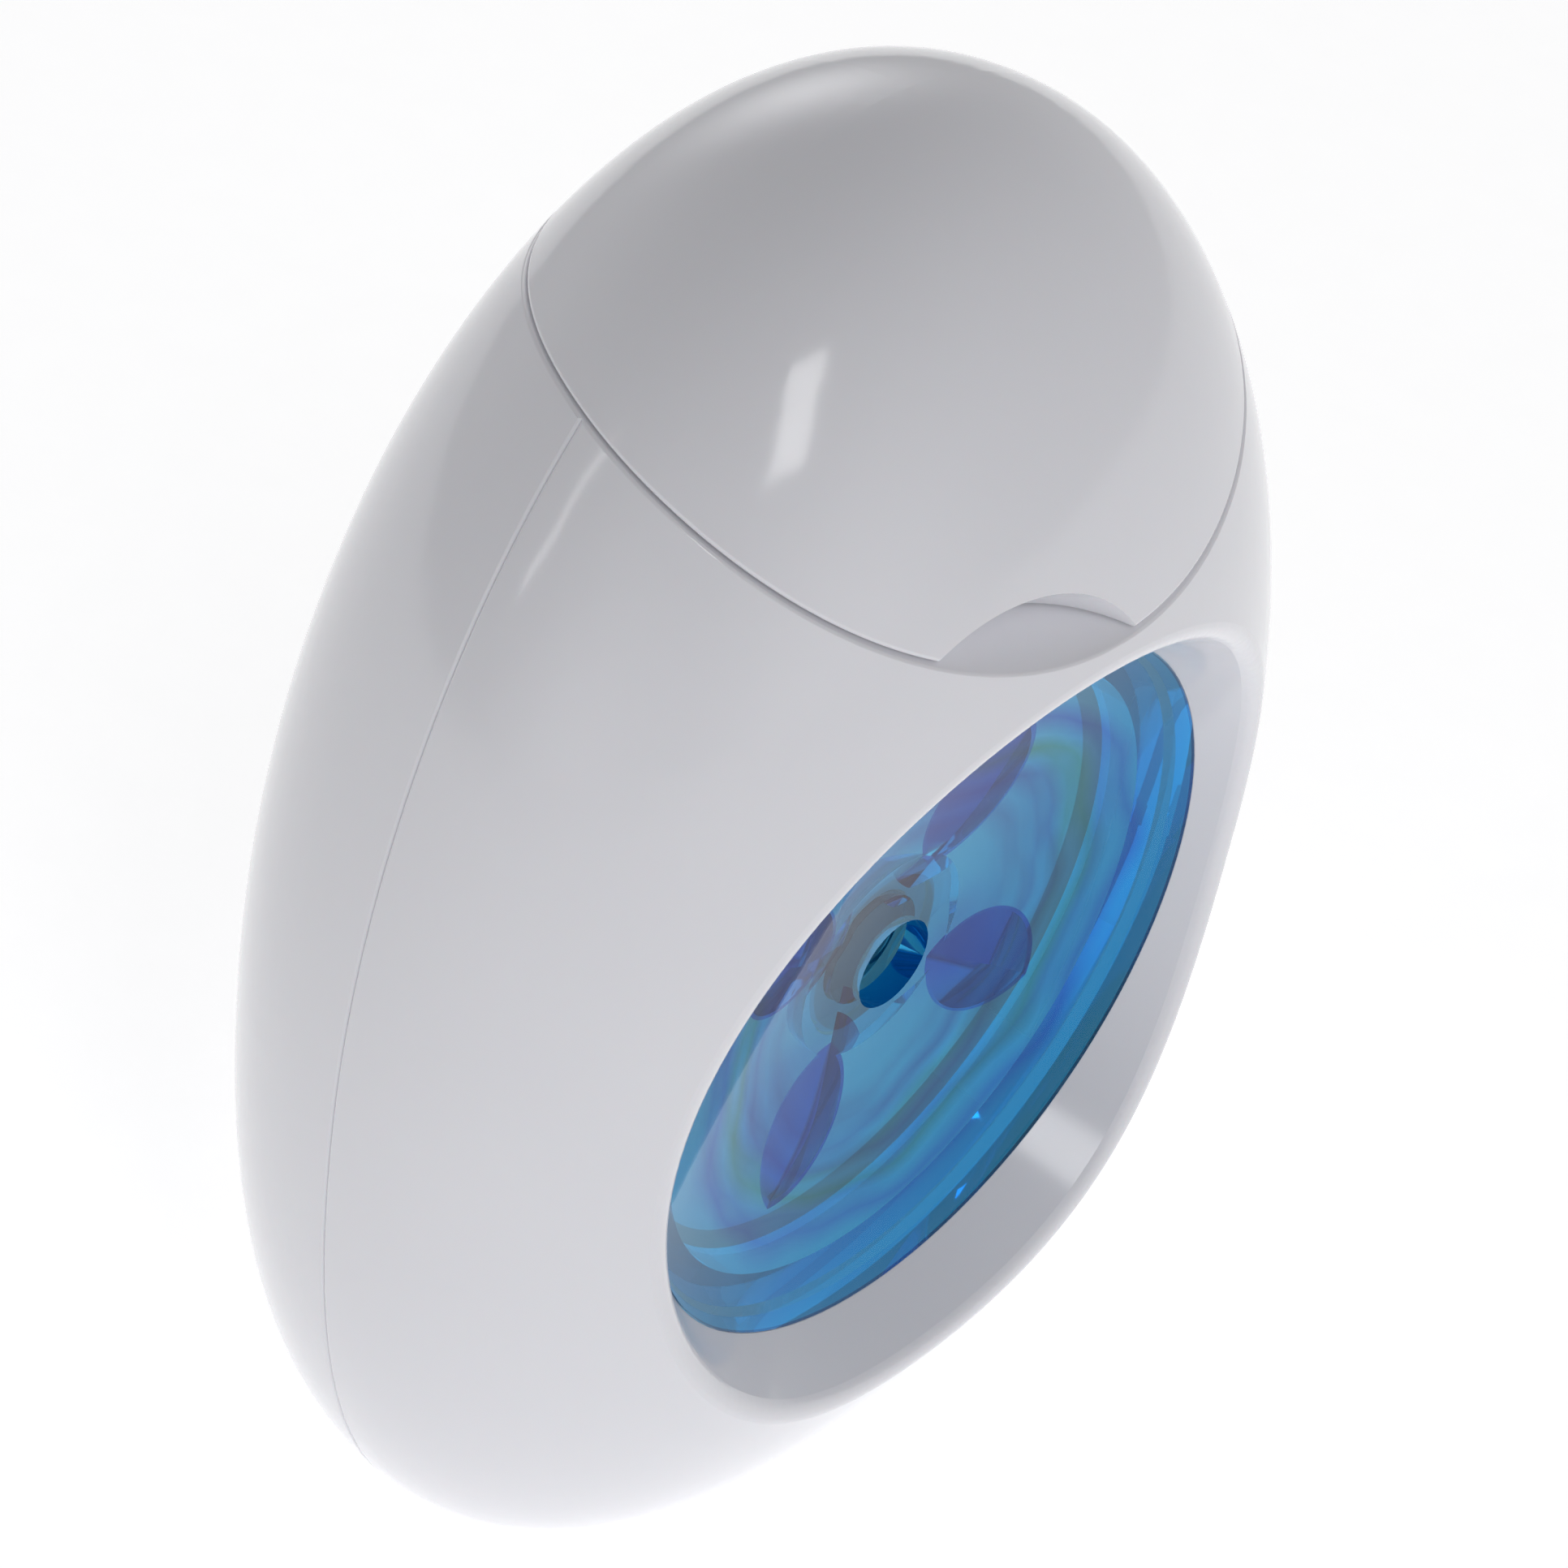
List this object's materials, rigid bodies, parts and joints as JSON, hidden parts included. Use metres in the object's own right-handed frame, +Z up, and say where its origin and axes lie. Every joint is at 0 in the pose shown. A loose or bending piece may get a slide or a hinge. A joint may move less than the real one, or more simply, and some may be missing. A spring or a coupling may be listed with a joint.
{
  "type": "dental floss dispenser",
  "caption": "Egg-shaped white floss case with a dished see-through blue window over the spool and a hinged cap over the floss outlet and cutter.",
  "frame": {"origin": "on the supporting plane, under the middle of the flat foot, on the parting plane of the two half shells", "axes": "+Z up towards the cap, -Y out of the window, +Y towards the cap's hinge, X along the hinge pin"},
  "size_m": [0.0428, 0.0268, 0.059],
  "materials": {
    "white_case": "glossy moulded white plastic",
    "white_inner": "satin moulded white plastic",
    "blue_window": "clear blue moulded plastic",
    "steel": "bright stainless sheet and wire",
    "floss": "waxed white strand"
  },
  "bodies": {
    "case": {"front_shell": "white_case", "rear_shell": "white_case", "window": "blue_window", "hinge_pin": "steel", "cutter_carrier": "white_inner", "cutter_blade": "steel"},
    "cap": {"flip_cap": "white_case"},
    "spool": {"spool": "white_inner", "floss_pack": "floss", "floss_outer_turns": "floss"}
  },
  "joints": [
    {"name": "cap_hinge", "type": "hinge", "parent": "case", "child": "cap", "pos_m": [0, 0.00897, 0.05161], "axis": [-1, 0, 0], "range_deg": [0, 100]},
    {"name": "spool_spin", "type": "hinge", "parent": "case", "child": "spool", "pos_m": [0, 0, 0.0266], "axis": [0, 1, 0], "continuous": true}
  ]
}
